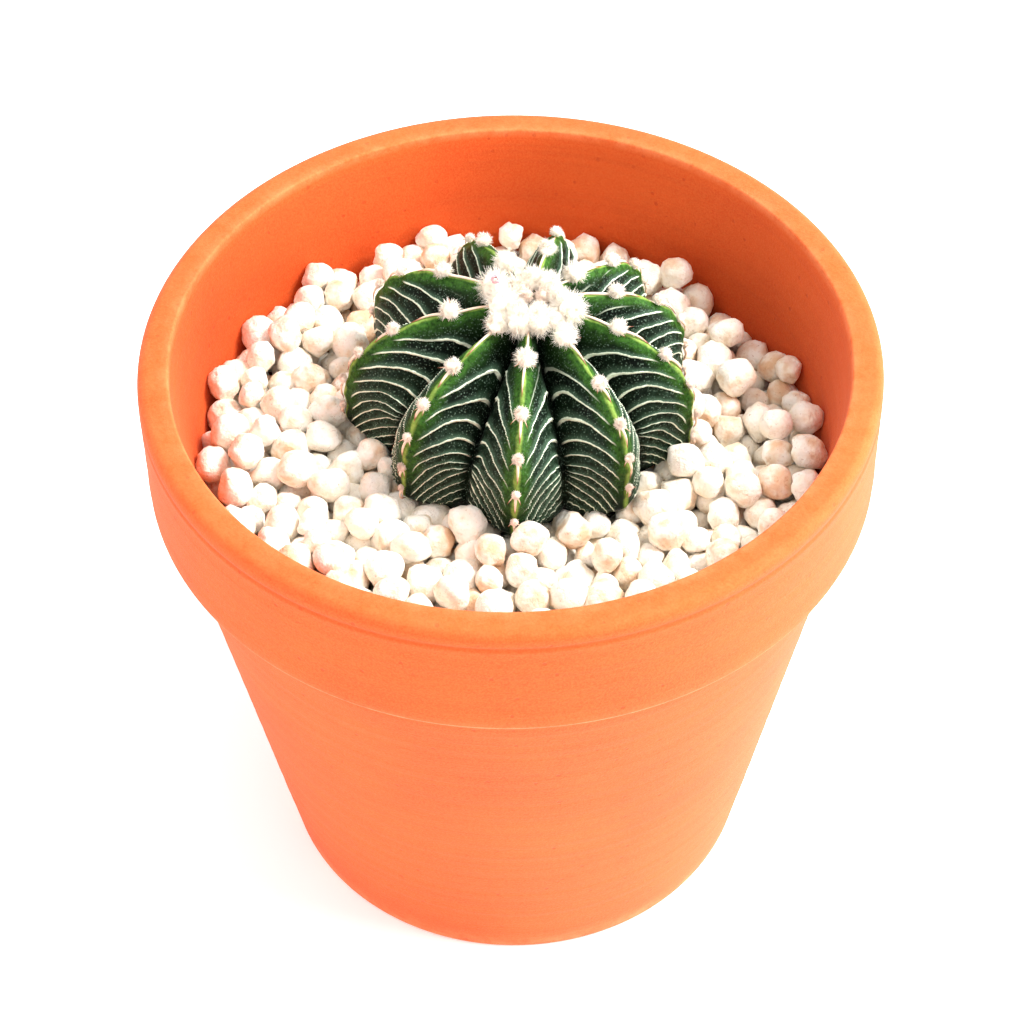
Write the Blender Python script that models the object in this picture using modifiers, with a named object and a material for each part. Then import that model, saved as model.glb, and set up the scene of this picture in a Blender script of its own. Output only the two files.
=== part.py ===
# Potted round cactus: a banded, ten-ribbed globe cactus in a 12 cm clay pot,
# with potting mix below and a top dressing of pale rounded granules.
# Metres, +Z up. The origin is the middle of the pot's foot, on the surface it stands on.
import math
import random

import bmesh
import bpy
from mathutils import Matrix, Vector

# Clay pot
RIM_RADIUS = 0.0600
POT_HEIGHT = 0.1075
COLLAR_BOTTOM = 0.0852
BODY_TOP_RADIUS = 0.0567
FOOT_RADIUS = 0.0416
MOUTH_RADIUS = 0.0549
LIP_ROUND = 0.0016
MOUTH_EDGE_ROUND = 0.0004
COLLAR_EDGE_ROUND = 0.0008
FOOT_ROUND = 0.0012
FLOOR_THICKNESS = 0.0075
FLOOR_ROUND = 0.0030
INNER_FLOOR_RADIUS = 0.0370
DRAIN_HOLE_RADIUS = 0.0070
THROW_GROOVE_DEPTH = 0.0003
THROW_GROOVE_BELOW_LIP = 0.0032
TURN_STEPS = 64

# Fill
GRANULE_LEVEL = 0.0895
WALL_RADIUS_AT_LEVEL = 0.0525
MIX_TOP = 0.0740
SEAT_GAP = 0.0003
STEM_GAP = 0.00045
GRANULE_RADIUS_MIN = 0.0025
GRANULE_RADIUS_MAX = 0.0031
GRANULE_LUMP = 0.06
GRANULE_LUMPS = 4
LOOSE_GRANULES = 34
LOOSE_SPACING = 0.0098
LOOSE_SINK = 0.0007
EDGE_MARGIN = 0.0017
PLACE_SPREAD = 0.0004
# A seat is a coarser ball than its granule, so it's larger by this much to clear it all round.
SEAT_SCALE = 1.36
BED_PITCH = 0.0080
BED_PITCH_SPREAD = 0.0008
BED_TOP_SPREAD = 0.0010
BED_GRID_STEP = 0.0040
BED_HOLLOW_DEPTH = 0.0026

# Cactus stem: crest line and furrow line, from the waist up to the crown
STEM_CENTRE = Vector((0.0022, 0.0053, GRANULE_LEVEL))
STEM_RADIUS = 0.0286
WAIST_HEIGHT = 0.0060
DOME_HEIGHT = 0.0172
CREST_POWER = 0.83
FURROW_RADIUS = 0.0213
FURROW_RISE = 0.0108
FURROW_POWER = 2.3
CROWN_MERGE_START = math.radians(72.0)
CROWN_LEAN = 0.0011
# How far a rib's faces swell, by the waist and by the crown.
WAIST_BULGE = 0.15
CROWN_BULGE = 0.62
BULGE_START = math.radians(-20.0)
BULGE_END = math.radians(60.0)
STEPS_PER_RIB = 8
STEM_RINGS = 17

# Compass angle of each rib's crest, in degrees from +X, how far it reaches out as a share of
# STEM_RADIUS, and the height angle of its first woolly tuft. The tufts follow a spiral, so
# neighbouring ribs start at different heights. Down a rib each step is a little shorter than
# the one before it.
RIB_ANGLES = (-94.0, -55.0, -18.0, 15.5, 43.5, 77.6, 111.8, 146.0, 184.2, 224.5)
RIB_REACHES = (1.01, 0.98, 1.00, 0.95, 0.96, 1.00, 1.00, 1.06, 1.04, 0.97)
FIRST_TUFT_ANGLES = (69.5, 74.5, 63.5, 62.5, 73.0, 65.0, 73.5, 61.0, 69.0, 78.7)
RIBS = len(RIB_ANGLES)
TUFT_STEP_ANGLE = 23.0
TUFT_STEP_SHORTENING = 0.9
LAST_TUFT_ANGLE = -9.0
TUFT_RADIUS_TOP = 0.0019
TUFT_RADIUS_FOOT = 0.0010
SPINE_RADIUS = 0.00035
SPINE_CLEARANCE = 0.0004
SPINE_OVERRUN_ANGLE = 4.0
TUFT_SINK = 0.35

# Wool over the crown, and the bud in it
CROWN_PAD_RADIUS = 0.0046
CROWN_PAD_FLATNESS = 0.45
# Each lobe: compass angle in degrees, distance from the crown's middle, radius.
CROWN_LOBES = (
    (151.0, 0.0063, 0.0022),
    (194.0, 0.0043, 0.0020),
    (253.0, 0.0052, 0.0015),
    (283.0, 0.0050, 0.0021),
    (340.0, 0.0065, 0.0022),
    (56.0, 0.0044, 0.0019),
    (86.0, 0.0043, 0.0019),
)
BUD_RADIUS = 0.0007
BUD_LENGTHENING = 1.3
BUD_TAPER = 0.35
BUD_LEAN = math.radians(42.0)

RANDOM_SEED = 11


def smoothstep(value, start, end):
    x = min(max((value - start) / (end - start), 0.0), 1.0)
    return x * x * (3.0 - 2.0 * x)


def arc(centre_r, centre_z, radius, start_deg, end_deg, steps):
    points = []
    for i in range(steps + 1):
        a = math.radians(start_deg + (end_deg - start_deg) * i / steps)
        points.append((centre_r + radius * math.cos(a), centre_z + radius * math.sin(a)))
    return points


def make_material(name, colour, roughness, metallic=0.0):
    material = bpy.data.materials.new(name)
    material.use_nodes = True
    shader = material.node_tree.nodes["Principled BSDF"]
    shader.inputs["Base Color"].default_value = (*colour, 1.0)
    shader.inputs["Roughness"].default_value = roughness
    shader.inputs["Metallic"].default_value = metallic
    return material


def add_object(name, mesh, collection, material=None):
    obj = bpy.data.objects.new(name, mesh)
    collection.objects.link(obj)
    if material is not None:
        mesh.materials.clear()
        mesh.materials.append(material)
    return obj


def hide_cutter(obj):
    obj.hide_render = True
    obj.display_type = "WIRE"


def turned(name, profile, closed, collection, material=None):
    mesh = bpy.data.meshes.new(name)
    verts = [(r, 0.0, z) for r, z in profile]
    edges = [(i, i + 1) for i in range(len(verts) - 1)]
    if closed:
        edges.append((len(verts) - 1, 0))
    mesh.from_pydata(verts, edges, [])
    obj = add_object(name, mesh, collection, material)
    screw = obj.modifiers.new("Turn", "SCREW")
    screw.steps = TURN_STEPS
    screw.render_steps = TURN_STEPS
    screw.use_merge_vertices = True
    screw.merge_threshold = 0.00001
    return obj


def bake_modifiers(obj):
    # Replaces the object's mesh by its evaluated one, so that its points can be shaped.
    bpy.context.view_layer.update()
    evaluated = obj.evaluated_get(bpy.context.evaluated_depsgraph_get())
    mesh = bpy.data.meshes.new_from_object(evaluated)
    obj.modifiers.clear()
    obj.data = mesh
    return obj


def boolean(obj, cutter, operation):
    modifier = obj.modifiers.new(operation.title(), "BOOLEAN")
    modifier.operation = operation
    modifier.object = cutter


def smooth(obj, angle_deg):
    obj.data.shade_smooth()
    obj.data.set_sharp_from_angle(angle=math.radians(angle_deg))


# The pot's inner wall: a straight slope from the floor to the fill level, then to the mouth.
def wall_radius(z):
    foot_z = FLOOR_THICKNESS + FLOOR_ROUND
    if z < GRANULE_LEVEL:
        share = (z - foot_z) / (GRANULE_LEVEL - foot_z)
        return INNER_FLOOR_RADIUS + (WALL_RADIUS_AT_LEVEL - INNER_FLOOR_RADIUS) * share
    share = (z - GRANULE_LEVEL) / (POT_HEIGHT - GRANULE_LEVEL)
    return WALL_RADIUS_AT_LEVEL + (MOUTH_RADIUS - WALL_RADIUS_AT_LEVEL) * share


def pot_profile():
    groove_z = POT_HEIGHT - THROW_GROOVE_BELOW_LIP
    profile = [(MOUTH_RADIUS + MOUTH_EDGE_ROUND, POT_HEIGHT)]
    profile += arc(RIM_RADIUS - LIP_ROUND, POT_HEIGHT - LIP_ROUND, LIP_ROUND, 90, 0, 3)
    profile += [
        (RIM_RADIUS, groove_z + THROW_GROOVE_DEPTH),
        (RIM_RADIUS - THROW_GROOVE_DEPTH, groove_z),
        (RIM_RADIUS, groove_z - THROW_GROOVE_DEPTH),
    ]
    profile += arc(RIM_RADIUS - COLLAR_EDGE_ROUND, COLLAR_BOTTOM + COLLAR_EDGE_ROUND,
                   COLLAR_EDGE_ROUND, 0, -90, 2)
    profile += [(BODY_TOP_RADIUS, COLLAR_BOTTOM)]
    profile += arc(FOOT_RADIUS - FOOT_ROUND, FOOT_ROUND, FOOT_ROUND, -10, -90, 2)
    profile += [(DRAIN_HOLE_RADIUS, 0.0), (DRAIN_HOLE_RADIUS, FLOOR_THICKNESS)]
    profile += arc(INNER_FLOOR_RADIUS - FLOOR_ROUND, FLOOR_THICKNESS + FLOOR_ROUND,
                   FLOOR_ROUND, -90, 0, 2)
    profile += [
        (wall_radius(GRANULE_LEVEL), GRANULE_LEVEL),
        (MOUTH_RADIUS, POT_HEIGHT - MOUTH_EDGE_ROUND),
    ]
    return profile


def build_pot(collection):
    clay = make_material("terracotta", (0.86, 0.25, 0.075), 0.85)
    pot = turned("pot", pot_profile(), True, collection, clay)
    bake_modifiers(pot)
    smooth(pot, 30)
    return pot


# Crest and furrow lines of the stem, as radius and height above the granules.
# The angle runs from 90 degrees at the crown to 0 at the waist.
def crest_line(angle, reach):
    r = STEM_RADIUS * reach * math.cos(angle) ** CREST_POWER
    z = WAIST_HEIGHT + DOME_HEIGHT * math.sin(angle) ** CREST_POWER
    return r, z


def furrow_line(angle, reach):
    r = FURROW_RADIUS * math.cos(angle)
    z = WAIST_HEIGHT + FURROW_RISE * math.sin(angle) ** FURROW_POWER
    crest_r, crest_z = crest_line(angle, reach)
    merge = smoothstep(angle, CROWN_MERGE_START, math.pi / 2)
    return r + (crest_r - r) * merge, z + (crest_z - z) * merge


# Below the waist the ribs fade out and the body narrows to its neck and taproot.
# Each row: share of the way down, radius, height above the granules, depth of the furrows.
UNDERSIDE = (
    (0.00, STEM_RADIUS, WAIST_HEIGHT, 1.0),
    (0.22, 0.0286, 0.0000, 0.75),
    (0.45, 0.0225, -0.0065, 0.40),
    (0.62, 0.0100, -0.0105, 0.0),
    (0.75, 0.0055, -0.0160, 0.0),
    (0.88, 0.0040, -0.0300, 0.0),
    (1.00, 0.0000, -0.0440, 0.0),
)


def underside_line(share):
    for upper, lower in zip(UNDERSIDE, UNDERSIDE[1:]):
        if share <= lower[0]:
            part = (share - upper[0]) / (lower[0] - upper[0])
            return [a + (b - a) * part for a, b in zip(upper[1:], lower[1:])]
    return UNDERSIDE[-1][1:]


def stem_section(height_angle, across, reach):
    # across is 0 on the crest and 1 in the furrow
    upward = smoothstep(height_angle, BULGE_START, BULGE_END)
    bulge = WAIST_BULGE + (CROWN_BULGE - WAIST_BULGE) * upward
    raised = 1.0 - (1.0 - bulge) * across - bulge * across * across
    if height_angle >= 0.0:
        crest_r, crest_z = crest_line(height_angle, reach)
        furrow_r, furrow_z = furrow_line(height_angle, reach)
        return (furrow_r + (crest_r - furrow_r) * raised,
                furrow_z + (crest_z - furrow_z) * raised)
    round_r, z, depth = underside_line(-height_angle / (math.pi / 2))
    crest_r = round_r * (1.0 + (reach - 1.0) * depth)
    furrow_r = round_r - (STEM_RADIUS - FURROW_RADIUS) * depth
    return furrow_r + (crest_r - furrow_r) * raised, z


def stem_point(height_angle, turn):
    # turn counts ribs: whole numbers are crests, halves are furrows
    rib = math.floor(turn)
    share = turn - rib
    start = RIB_ANGLES[rib % RIBS]
    end = RIB_ANGLES[(rib + 1) % RIBS]
    if end < start:
        end += 360.0
    azimuth = math.radians(start + (end - start) * share)
    reach = RIB_REACHES[rib % RIBS] * (1.0 - share) + RIB_REACHES[(rib + 1) % RIBS] * share
    across = min(share, 1.0 - share) * 2.0
    r, z = stem_section(height_angle, across, reach)
    lean = CROWN_LEAN * max(z, 0.0) / (WAIST_HEIGHT + DOME_HEIGHT)
    return STEM_CENTRE + Vector((r * math.cos(azimuth) + lean, r * math.sin(azimuth), z))


def stem_mesh(name, swell):
    bm = bmesh.new()
    bmesh.ops.create_uvsphere(bm, u_segments=STEPS_PER_RIB * RIBS, v_segments=STEM_RINGS,
                              radius=1.0)
    for vert in bm.verts:
        height_angle = math.asin(min(max(vert.co.z, -1.0), 1.0))
        turn = (math.atan2(vert.co.y, vert.co.x) % math.tau) / math.tau * RIBS
        vert.co = stem_point(height_angle, turn)
    bm.normal_update()
    for vert, normal in [(vert, vert.normal.copy()) for vert in bm.verts]:
        vert.co += normal * swell
    mesh = bpy.data.meshes.new(name)
    bm.to_mesh(mesh)
    bm.free()
    return mesh


def build_stem(collection):
    skin = make_material("cactus_skin", (0.030, 0.085, 0.030), 0.5)
    stem = add_object("cactus_stem", stem_mesh("cactus_stem", 0.0), collection, skin)
    smooth(stem, 40)
    return stem


def build_potting_mix(collection, stem_cutter):
    soil = make_material("potting_mix", (0.045, 0.028, 0.017), 0.95)
    bottom = FLOOR_THICKNESS + SEAT_GAP
    corner = FLOOR_THICKNESS + FLOOR_ROUND
    profile = [
        (0.0, MIX_TOP),
        (wall_radius(MIX_TOP) - SEAT_GAP, MIX_TOP),
        (wall_radius(corner) - SEAT_GAP, corner),
        (wall_radius(corner) - FLOOR_ROUND, bottom),
        (0.0, bottom),
    ]
    mix = turned("potting_mix", profile, False, collection, soil)
    bake_modifiers(mix)
    boolean(mix, stem_cutter, "DIFFERENCE")
    bake_modifiers(mix)
    smooth(mix, 40)
    return mix


def lattice_centres(rng, reach):
    # Centres of the granules that make up the bed: a jittered hexagonal lattice.
    centres = []
    row_step = BED_PITCH * math.sqrt(3.0) / 2.0
    rows = int(reach / row_step) + 1
    for row in range(-rows, rows + 1):
        shift = BED_PITCH / 2.0 if row % 2 else 0.0
        for column in range(-rows, rows + 1):
            x = column * BED_PITCH + shift + rng.uniform(-BED_PITCH_SPREAD, BED_PITCH_SPREAD)
            y = row * row_step + rng.uniform(-BED_PITCH_SPREAD, BED_PITCH_SPREAD)
            top = GRANULE_LEVEL + rng.uniform(-BED_TOP_SPREAD, BED_TOP_SPREAD)
            centres.append((x, y, top))
    return centres


def bed_height(x, y, centres, places):
    # Domes of the lattice's granules, kept down beside a loose one so that it lies open.
    height = GRANULE_LEVEL - BED_HOLLOW_DEPTH
    for centre_x, centre_y, top in centres:
        away = math.hypot(x - centre_x, y - centre_y) / (BED_PITCH / 2.0)
        if away < 1.0:
            dome = top - BED_HOLLOW_DEPTH * (1.0 - math.sqrt(1.0 - away * away))
            height = max(height, dome)
    for place_x, place_y, place_z, radius, _ in places:
        if math.hypot(x - place_x, y - place_y) < radius * SEAT_SCALE + BED_GRID_STEP:
            height = min(height, place_z)
    return height


def granule_mesh(name, rng, radius, detail):
    bm = bmesh.new()
    bmesh.ops.create_icosphere(bm, subdivisions=detail, radius=1.0)
    flat = rng.uniform(0.80, 0.95)
    long = rng.uniform(1.0, 1.12)
    lumps = [Vector((rng.gauss(0, 1), rng.gauss(0, 1), rng.gauss(0, 1))).normalized()
             for _ in range(GRANULE_LUMPS)]
    for vert in bm.verts:
        lumpy = 1.0 + GRANULE_LUMP * sum(max(vert.co.dot(lump), 0.0) ** 3 for lump in lumps)
        vert.co *= radius * lumpy
        vert.co.x *= long
        vert.co.z *= flat
    mesh = bpy.data.meshes.new(name)
    bm.to_mesh(mesh)
    bm.free()
    return mesh


def granule_places(rng):
    # Loose granules spread over the ring between the stem and the wall.
    places = []
    while len(places) < LOOSE_GRANULES:
        radius = rng.uniform(GRANULE_RADIUS_MIN, GRANULE_RADIUS_MAX)
        x = rng.uniform(-RIM_RADIUS, RIM_RADIUS)
        y = rng.uniform(-RIM_RADIUS, RIM_RADIUS)
        room = radius * SEAT_SCALE + EDGE_MARGIN
        if math.hypot(x, y) > WALL_RADIUS_AT_LEVEL - room:
            continue
        if math.hypot(x - STEM_CENTRE.x, y - STEM_CENTRE.y) < STEM_RADIUS + room:
            continue
        if any(math.hypot(x - other[0], y - other[1]) < LOOSE_SPACING for other in places):
            continue
        z = GRANULE_LEVEL - LOOSE_SINK + rng.uniform(-PLACE_SPREAD, PLACE_SPREAD)
        places.append((x, y, z, radius, rng.uniform(0.0, math.tau)))
    return places


def join_meshes(name, parts, collection):
    # One mesh from several placed ones; the parts stay apart in it.
    bm = bmesh.new()
    for mesh, matrix in parts:
        start = len(bm.verts)
        bm.from_mesh(mesh)
        bm.verts.ensure_lookup_table()
        bmesh.ops.transform(bm, matrix=matrix, verts=bm.verts[start:])
    mesh = bpy.data.meshes.new(name)
    bm.to_mesh(mesh)
    bm.free()
    return add_object(name, mesh, collection)


def build_granules(collection, cutters, stem_cutter):
    rng = random.Random(RANDOM_SEED)
    pumice = make_material("granule", (0.86, 0.80, 0.72), 0.75)
    places = granule_places(rng)
    hollows = []
    for number, (x, y, z, radius, spin) in enumerate(places, start=1):
        name = f"granule_{number:02d}"
        shape_seed = RANDOM_SEED + number
        mesh = granule_mesh(name, random.Random(shape_seed), radius, 2)
        granule = add_object(name, mesh, collection, pumice)
        granule.location = (x, y, z)
        granule.rotation_euler = (0.0, 0.0, spin)
        smooth(granule, 60)
        hollow = granule_mesh(name + "_seat", random.Random(shape_seed), radius * SEAT_SCALE, 1)
        hollows.append((hollow, Matrix.Translation((x, y, z)) @ Matrix.Rotation(spin, 4, "Z")))
    seats = join_meshes("granule_seats", hollows, cutters)
    hide_cutter(seats)

    # The bed: everything below the loose granules, with the tops of its own ones.
    reach = WALL_RADIUS_AT_LEVEL
    centres = lattice_centres(rng, reach)
    steps = int(2.0 * reach / BED_GRID_STEP) + 1
    bm = bmesh.new()
    bmesh.ops.create_grid(bm, x_segments=steps, y_segments=steps, size=reach)
    for vert in bm.verts:
        vert.co.z = bed_height(vert.co.x, vert.co.y, centres, places)
    top_faces = list(bm.faces)
    lower = bmesh.ops.extrude_face_region(bm, geom=top_faces)
    new_verts = [item for item in lower["geom"] if isinstance(item, bmesh.types.BMVert)]
    for vert in new_verts:
        vert.co.z = MIX_TOP - BED_HOLLOW_DEPTH
    bmesh.ops.recalc_face_normals(bm, faces=bm.faces)
    mesh = bpy.data.meshes.new("granule_bed")
    bm.to_mesh(mesh)
    bm.free()
    bed = add_object("granule_bed", mesh, collection, pumice)
    room_top = GRANULE_LEVEL + BED_PITCH
    room_bottom = MIX_TOP + SEAT_GAP
    room = turned("bed_room", [
        (0.0, room_top),
        (wall_radius(GRANULE_LEVEL) - SEAT_GAP, room_top),
        (wall_radius(GRANULE_LEVEL) - SEAT_GAP, GRANULE_LEVEL),
        (wall_radius(room_bottom) - SEAT_GAP, room_bottom),
        (0.0, room_bottom),
    ], False, cutters)
    bake_modifiers(room)
    hide_cutter(room)
    for cutter, operation in ((room, "INTERSECT"), (stem_cutter, "DIFFERENCE"),
                              (seats, "DIFFERENCE")):
        boolean(bed, cutter, operation)
        bake_modifiers(bed)
    smooth(bed, 50)
    return bed


def crest_point(height_angle, rib, lift):
    # A point over the crest, lifted square to the crest line.
    step = math.radians(1.0)
    here = stem_point(height_angle, rib)
    along = stem_point(height_angle + step, rib) - stem_point(height_angle - step, rib)
    azimuth = math.radians(RIB_ANGLES[rib])
    side = Vector((-math.sin(azimuth), math.cos(azimuth), 0.0))
    outward = along.cross(side).normalized()
    if outward.dot(Vector((math.cos(azimuth), math.sin(azimuth), 1.0))) < 0.0:
        outward.negate()
    return here + outward * lift


def tuft_angles(rib):
    angles = []
    angle = FIRST_TUFT_ANGLES[rib]
    while angle > LAST_TUFT_ANGLE:
        angles.append(math.radians(angle))
        step = len(angles)
        angle = FIRST_TUFT_ANGLES[rib] - TUFT_STEP_ANGLE * step + TUFT_STEP_SHORTENING * step ** 2
    return angles


def tuft_radius(height_angle):
    share = max(height_angle, 0.0) / math.radians(75.0)
    return TUFT_RADIUS_FOOT + (TUFT_RADIUS_TOP - TUFT_RADIUS_FOOT) * share


def spine_mesh(name, points, radius, collection):
    curve = bpy.data.curves.new(name, "CURVE")
    curve.dimensions = "3D"
    curve.bevel_depth = radius
    curve.bevel_resolution = 0
    curve.use_fill_caps = True
    spline = curve.splines.new("POLY")
    spline.points.add(len(points) - 1)
    for slot, point in zip(spline.points, points):
        slot.co = (*point, 1.0)
    obj = bpy.data.objects.new(name, curve)
    collection.objects.link(obj)
    bpy.context.view_layer.update()
    evaluated = obj.evaluated_get(bpy.context.evaluated_depsgraph_get())
    mesh = bpy.data.meshes.new_from_object(evaluated)
    matrix = obj.matrix_world.copy()
    bm = bmesh.new()
    bm.from_mesh(mesh)
    bmesh.ops.remove_doubles(bm, verts=bm.verts, dist=0.000001)
    bmesh.ops.recalc_face_normals(bm, faces=bm.faces)
    bm.to_mesh(mesh)
    bm.free()
    bpy.data.objects.remove(obj)
    solid = add_object(name, mesh, collection)
    solid.matrix_world = matrix
    return solid


def wool_ball(name, centre, radius, detail, collection):
    bm = bmesh.new()
    bmesh.ops.create_icosphere(bm, subdivisions=detail, radius=radius)
    mesh = bpy.data.meshes.new(name)
    bm.to_mesh(mesh)
    bm.free()
    ball = add_object(name, mesh, collection)
    ball.location = centre
    return ball


def build_areole_rows(collection, cutters, stem_cutter):
    wool = make_material("areole_wool", (0.90, 0.86, 0.80), 0.95)
    for rib in range(RIBS):
        name = f"areole_row_{rib + 1:02d}"
        angles = tuft_angles(rib)
        lift = SPINE_RADIUS + SPINE_CLEARANCE
        first = angles[0]
        last = angles[-1] - math.radians(SPINE_OVERRUN_ANGLE)
        count = 2 * len(angles)
        points = [crest_point(first + (last - first) * i / (count - 1), rib, lift)
                  for i in range(count)]
        row = spine_mesh(name, points, SPINE_RADIUS, collection)
        for number, angle in enumerate(angles):
            radius = tuft_radius(angle)
            centre = crest_point(angle, rib, radius * (1.0 - TUFT_SINK) + SPINE_CLEARANCE)
            detail = 2 if number == 0 else 1
            ball = wool_ball(f"{name}_tuft_{number + 1}", centre, radius, detail, cutters)
            hide_cutter(ball)
            boolean(row, ball, "UNION")
        boolean(row, stem_cutter, "DIFFERENCE")
        bake_modifiers(row)
        row.data.materials.clear()
        row.data.materials.append(wool)
        smooth(row, 50)


def lobe_offset(angle_deg, reach, height):
    azimuth = math.radians(angle_deg)
    return Vector((math.cos(azimuth) * reach, math.sin(azimuth) * reach, height))


def build_crown(collection, cutters):
    wool = make_material("crown_wool", (0.93, 0.89, 0.80), 0.95)
    crown_top = STEM_CENTRE + Vector((CROWN_LEAN, 0.0, WAIST_HEIGHT + DOME_HEIGHT))
    pad_height = CROWN_PAD_RADIUS * CROWN_PAD_FLATNESS
    pad = wool_ball("crown_wool", crown_top + Vector((0.0, 0.0, pad_height + SEAT_GAP)),
                    CROWN_PAD_RADIUS, 2, collection)
    for vert in pad.data.vertices:
        vert.co.z *= CROWN_PAD_FLATNESS
    for number, (angle, reach, radius) in enumerate(CROWN_LOBES, start=1):
        place = crown_top + lobe_offset(angle, reach, radius + SEAT_GAP)
        ball = wool_ball(f"crown_lobe_{number}", place, radius, 2, cutters)
        hide_cutter(ball)
        boolean(pad, ball, "UNION")
    bake_modifiers(pad)
    pad.data.materials.clear()
    pad.data.materials.append(wool)
    smooth(pad, 50)

    # The bud stands out of the first lobe, leaning over to the front.
    petal = make_material("flower_bud", (0.80, 0.22, 0.24), 0.6)
    angle, reach, radius = CROWN_LOBES[0]
    lobe = crown_top + lobe_offset(angle, reach, radius + SEAT_GAP)
    away = Vector((0.0, -math.sin(BUD_LEAN), math.cos(BUD_LEAN)))
    bm = bmesh.new()
    bmesh.ops.create_icosphere(bm, subdivisions=2, radius=BUD_RADIUS)
    for vert in bm.verts:
        vert.co.z *= BUD_LENGTHENING
        vert.co.xy *= 1.0 - BUD_TAPER * max(vert.co.z, 0.0) / (BUD_RADIUS * BUD_LENGTHENING)
    mesh = bpy.data.meshes.new("flower_bud")
    bm.to_mesh(mesh)
    bm.free()
    bud = add_object("flower_bud", mesh, collection, petal)
    bud.location = lobe + away * (radius + BUD_RADIUS * BUD_LENGTHENING + SEAT_GAP)
    bud.rotation_euler = (BUD_LEAN, 0.0, 0.0)
    smooth(bud, 60)


def main():
    for obj in list(bpy.data.objects):
        bpy.data.objects.remove(obj)
    parts = bpy.data.collections.new("potted_round_cactus")
    cutters = bpy.data.collections.new("cutters")
    bpy.context.scene.collection.children.link(parts)
    bpy.context.scene.collection.children.link(cutters)

    stem_cutter = add_object("stem_room", stem_mesh("stem_room", STEM_GAP), cutters)
    hide_cutter(stem_cutter)

    build_pot(parts)
    build_potting_mix(parts, stem_cutter)
    build_stem(parts)
    build_granules(parts, cutters, stem_cutter)
    build_areole_rows(parts, cutters, stem_cutter)
    build_crown(parts, cutters)


main()
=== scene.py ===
import math

import bmesh
import bpy
import numpy as np
from mathutils import Matrix, Vector


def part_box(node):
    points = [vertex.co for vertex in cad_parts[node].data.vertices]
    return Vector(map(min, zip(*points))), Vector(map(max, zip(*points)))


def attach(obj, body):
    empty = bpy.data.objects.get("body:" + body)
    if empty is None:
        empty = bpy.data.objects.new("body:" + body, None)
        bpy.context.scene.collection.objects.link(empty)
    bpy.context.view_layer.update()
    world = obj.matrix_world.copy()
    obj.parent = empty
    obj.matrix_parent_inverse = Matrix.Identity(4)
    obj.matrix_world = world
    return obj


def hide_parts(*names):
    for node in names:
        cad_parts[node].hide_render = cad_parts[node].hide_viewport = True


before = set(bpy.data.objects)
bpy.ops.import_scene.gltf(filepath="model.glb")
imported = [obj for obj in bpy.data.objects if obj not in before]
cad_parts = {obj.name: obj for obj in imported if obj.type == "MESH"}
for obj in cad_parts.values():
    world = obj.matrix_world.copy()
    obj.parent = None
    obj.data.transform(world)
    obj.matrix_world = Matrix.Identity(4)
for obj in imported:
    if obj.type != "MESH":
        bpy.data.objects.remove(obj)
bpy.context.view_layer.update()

mm = 0.001
tau = 2.0 * math.pi
print("frame loaded:", len(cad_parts), "CAD nodes")


def linear(hexColour):
    # sRGB hex to linear RGBA
    out = []
    for start in (1, 3, 5):
        value = int(hexColour[start:start + 2], 16) / 255.0
        out.append(value / 12.92 if value <= 0.04045 else ((value + 0.055) / 1.055) ** 2.4)
    return (*out, 1.0)


def smooth(value, low, high):
    x = np.clip((value - low) / (high - low), 0.0, 1.0)
    return x * x * (3.0 - 2.0 * x)


def unit(vectors):
    return vectors / np.maximum(np.linalg.norm(vectors, axis=-1, keepdims=True), 1e-12)


def ripples(points, rng, size, waves=14):
    # a smooth random field from about -1 to 1: waves of one size in every direction
    directions = unit(rng.normal(size=(waves, 3))) * rng.uniform(0.6, 1.4, (waves, 1)) * tau / size
    phases = rng.uniform(0.0, tau, waves)
    return np.sin(points @ directions.T + phases).sum(-1) * math.sqrt(2.0 / waves) * 0.7


def newMesh(name, points, *faceBlocks):
    # points in mm and blocks of faces, each block with its own number of corners
    loops = np.concatenate([block.ravel() for block in faceBlocks]).astype(np.int32)
    counts = np.concatenate([np.full(len(block), block.shape[1]) for block in faceBlocks])
    starts = np.concatenate([[0], np.cumsum(counts)[:-1]]).astype(np.int32)
    mesh = bpy.data.meshes.new(name)
    mesh.vertices.add(len(points))
    mesh.vertices.foreach_set("co", np.asarray(points * mm, np.float32).ravel())
    mesh.loops.add(len(loops))
    mesh.loops.foreach_set("vertex_index", loops)
    mesh.polygons.add(len(counts))
    mesh.polygons.foreach_set("loop_start", starts)
    mesh.update(calc_edges=True)
    mesh.validate()
    mesh.shade_smooth()
    return mesh


def setAttributes(mesh, **fields):
    for name, values in fields.items():
        layer = mesh.attributes.new(name, "FLOAT", "POINT")
        layer.data.foreach_set("value", np.asarray(values, np.float32).ravel())


def addPiece(mesh, material, slot, *nodes):
    piece = bpy.data.objects.new(mesh.name, mesh)
    bpy.context.scene.collection.objects.link(piece)
    mesh.materials.append(material)
    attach(piece, "root")
    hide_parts(*nodes)
    return piece


def gridFaces(rows, columns):
    # quads between rows of points whose columns close into rings
    row, column = np.meshgrid(np.arange(rows - 1), np.arange(columns), indexing="ij")
    after = (column + 1) % columns
    corners = (row * columns + column, row * columns + after,
               (row + 1) * columns + after, (row + 1) * columns + column)
    return np.stack(corners, -1).reshape(-1, 4)


def ballShape(detail):
    # points and triangles of an even ball of radius 1
    bm = bmesh.new()
    bmesh.ops.create_icosphere(bm, subdivisions=detail, radius=1.0)
    bm.verts.index_update()
    points = np.array([vert.co for vert in bm.verts])
    faces = np.array([[vert.index for vert in face.verts] for face in bm.faces])
    bm.free()
    return points, faces


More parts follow.
